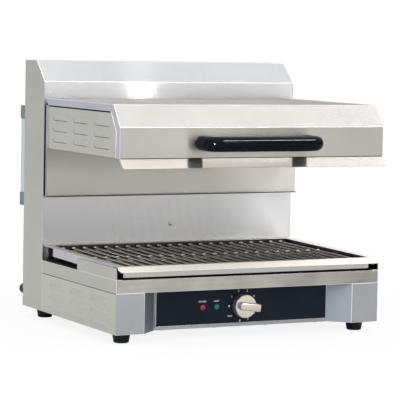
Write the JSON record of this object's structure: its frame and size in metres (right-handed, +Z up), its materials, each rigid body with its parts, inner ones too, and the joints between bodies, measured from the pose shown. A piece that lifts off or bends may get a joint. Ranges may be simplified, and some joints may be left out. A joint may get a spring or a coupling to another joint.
{
  "type": "salamander grill",
  "caption": "Countertop salamander grill with a hood that rises on a rear column, a tilted drip tray under a wire grid, and a front panel with a heat dial and signal lamps.",
  "frame": {"origin": "on the floor under the middle of the overall box", "axes": "+Z up, -Y towards the user, +X to the right seen from the front"},
  "size_m": [0.6072, 0.5694, 0.5485],
  "materials": {
    "stainless_sheet": "brushed stainless steel sheet",
    "trim_steel": "bright stainless steel",
    "black_panel": "satin black",
    "red_lens": "clear gloss",
    "green_lens": "clear gloss",
    "inner_plastic": "matte",
    "gland_plastic": "matte",
    "black_rubber": "matte",
    "spacer_steel": "brushed",
    "spacer_plastic": "matte",
    "chromed_wire": "bright wire, heat darkened",
    "reflector_steel": "bright",
    "fibre_blanket": "soft white fibre",
    "heater_sheath": "dark oxide",
    "ceramic": "glazed ceramic",
    "handle_grip": "gloss black moulding",
    "knob_plastic": "metallised",
    "shaft_steel": "ground and polished",
    "bush_bronze": "bronze",
    "block_alloy": "machined",
    "cylinder_paint": "satin black"
  },
  "bodies": {
    "casing": {"floor_plate": "stainless_sheet", "base_side_left": "stainless_sheet", "base_side_right": "stainless_sheet", "front_fascia": "stainless_sheet", "top_frame": "stainless_sheet", "control_plate": "black_panel", "panel_surround": "trim_steel", "power_lamp": "red_lens", "heat_lamp": "green_lens", "lamp_bodies": "inner_plastic", "energy_regulator": "inner_plastic", "terminal_block": "inner_plastic", "cable_gland": "gland_plastic", "gland_nut": "gland_plastic", "rubber_feet": "black_rubber", "foot_studs": "trim_steel", "base_screws": "trim_steel", "column_side_left": "stainless_sheet", "column_side_right": "stainless_sheet", "column_front": "stainless_sheet", "column_rear": "stainless_sheet", "rear_screws": "trim_steel", "wall_screw": "trim_steel", "wall_spacers": "spacer_steel", "spacer_caps": "spacer_plastic", "rear_bumpers": "black_rubber", "guide_plate_left": "stainless_sheet", "guide_plate_right": "stainless_sheet", "tray_runner_left": "stainless_sheet", "tray_runner_right": "stainless_sheet", "lift_rods": "shaft_steel", "rod_beam_lower": "stainless_sheet", "rod_beam_upper": "stainless_sheet", "spring_cylinders": "cylinder_paint"},
    "hood": {"hood_cover": "stainless_sheet", "hood_side_left": "stainless_sheet", "hood_side_right": "stainless_sheet", "rear_shield": "stainless_sheet", "hood_deflector": "stainless_sheet", "reflector": "reflector_steel", "insulation_blanket": "fibre_blanket", "heating_element_left": "heater_sheath", "heating_element_right": "heater_sheath", "element_beads": "ceramic", "element_supports": "stainless_sheet", "handle": "handle_grip", "handle_screws": "trim_steel", "lift_block_left": "block_alloy", "lift_block_right": "block_alloy", "lift_bushes": "bush_bronze", "lift_arm_left": "stainless_sheet", "lift_arm_right": "stainless_sheet", "arm_bolts": "trim_steel", "cross_tie": "stainless_sheet", "spring_rods": "shaft_steel"},
    "tray": {"drip_pan": "stainless_sheet"},
    "grid": {"wire_grid": "chromed_wire"},
    "knob": {"control_knob": "knob_plastic", "regulator_shaft": "shaft_steel"}
  },
  "joints": [
    {"name": "hood_lift", "type": "slide", "parent": "casing", "child": "hood", "axis": [0, 0, 1], "range_m": [-0.095, 0]},
    {"name": "tray_slide", "type": "slide", "parent": "casing", "child": "tray", "axis": [0, -0.9999, -0.0147], "range_m": [0, 0.25]},
    {"name": "grid_lift", "type": "slide", "parent": "tray", "child": "grid", "axis": [0, -0.0147, 0.9999], "range_m": [0, 0.01]},
    {"name": "knob_turn", "type": "hinge", "parent": "casing", "child": "knob", "pos_m": [0, -0.1843, 0.0625], "axis": [0, 1, 0], "range_deg": [0, 300]}
  ]
}
